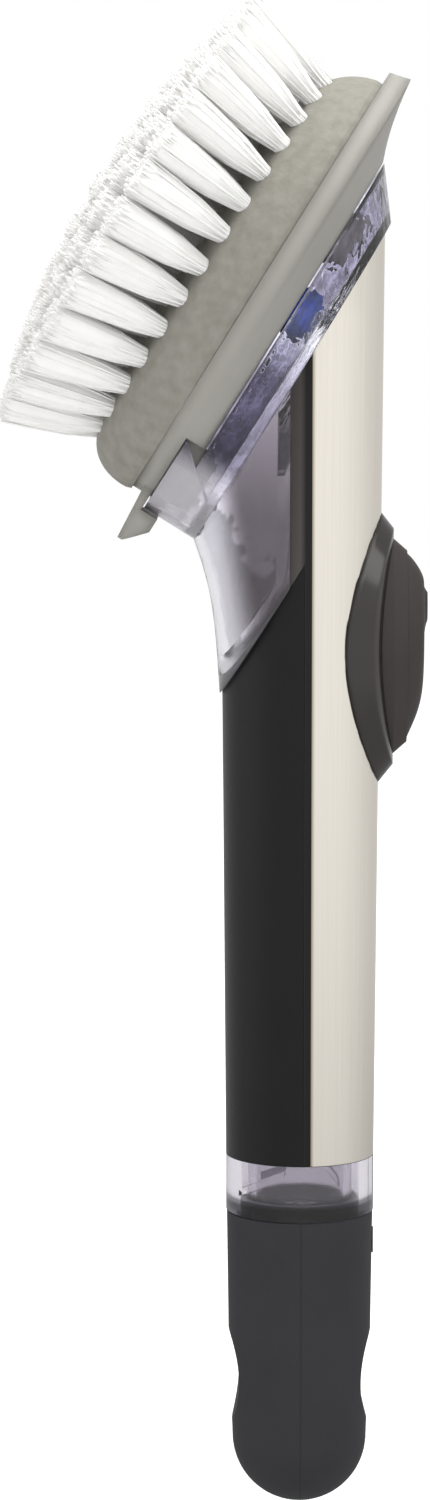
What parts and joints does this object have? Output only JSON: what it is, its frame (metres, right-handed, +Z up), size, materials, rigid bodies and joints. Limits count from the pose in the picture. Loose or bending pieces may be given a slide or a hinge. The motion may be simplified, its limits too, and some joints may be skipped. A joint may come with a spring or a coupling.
{
  "type": "soap-dispensing dish brush",
  "caption": "Dish wand with a tilted oval bristle head that lifts off, a soap tank in its handle, a sprung thumb pump on the back and a screw filler cap at the foot.",
  "frame": {"origin": "on the handle's axis, in the plane of the filler mouth, at the lower edge of the clear ring", "axes": "+Z up the handle to the head, +X to the back, where the button is, -X the way the bristles face; the XZ plane is the plane of symmetry"},
  "size_m": [0.0769, 0.0658, 0.2734],
  "materials": {
    "clear_plastic": "clear moulded copolyester, polished",
    "black_grip": "satin soft-touch elastomer",
    "black_plastic": "matt moulded",
    "brushed_steel": "brushed along the handle",
    "black_gloss": "polished moulded",
    "black_rubber": "smooth",
    "white_plastic": "natural acetal",
    "spring_steel": "drawn stainless wire",
    "blue_silicone": "satin silicone",
    "charcoal_rubber": "fine matt soft-touch elastomer",
    "grey_plastic": "satin moulded polypropylene",
    "grey_block": "fine textured moulded polypropylene",
    "white_nylon": "extruded filaments"
  },
  "bodies": {
    "handle": {"tank": "clear_plastic", "head_collar": "clear_plastic", "front_grip": "black_grip", "back_liner": "black_plastic", "steel_cover": "brushed_steel", "button_bezel": "black_gloss", "pump_gasket": "black_rubber", "pump_housing": "black_plastic", "piston_retainer": "black_plastic", "return_spring": "spring_steel", "inlet_valve": "blue_silicone", "delivery_duct": "white_plastic", "outlet_valve": "blue_silicone"},
    "thumb_button": {"button": "charcoal_rubber", "plunger": "white_plastic", "piston_seal": "black_rubber"},
    "brush_head": {"head_carrier": "grey_plastic", "bristle_block": "grey_block", "bristles_outer": "white_nylon", "bristles_second": "white_nylon", "bristles_third": "white_nylon", "bristles_inner": "white_nylon"},
    "cap_ring": {"cap_seal": "black_rubber"},
    "cap": {"cap_core": "clear_plastic", "cap_grip": "charcoal_rubber"}
  },
  "joints": [
    {"name": "button_press", "type": "slide", "parent": "handle", "child": "thumb_button", "axis": [-1, 0, 0], "range_m": [0, 0.0035], "stiffness_N_per_m": 800, "springref_m": -0.002, "deforming": ["return_spring"]},
    {"name": "head_lift", "type": "slide", "parent": "handle", "child": "brush_head", "axis": [-0.848, 0, 0.5299], "range_m": [0, 0.03]},
    {"name": "cap_rise", "type": "slide", "parent": "handle", "child": "cap_ring", "axis": [0, 0, -1], "range_m": [0, 0.012]},
    {"name": "cap_twist", "type": "hinge", "parent": "cap_ring", "child": "cap", "pos_m": [0, 0, 0], "axis": [0, 0, -1], "range_deg": [0, 150]}
  ],
  "couplings": [
    {"joint": "cap_rise", "follows": "cap_twist", "m_per_rad": 0.0045837}
  ]
}
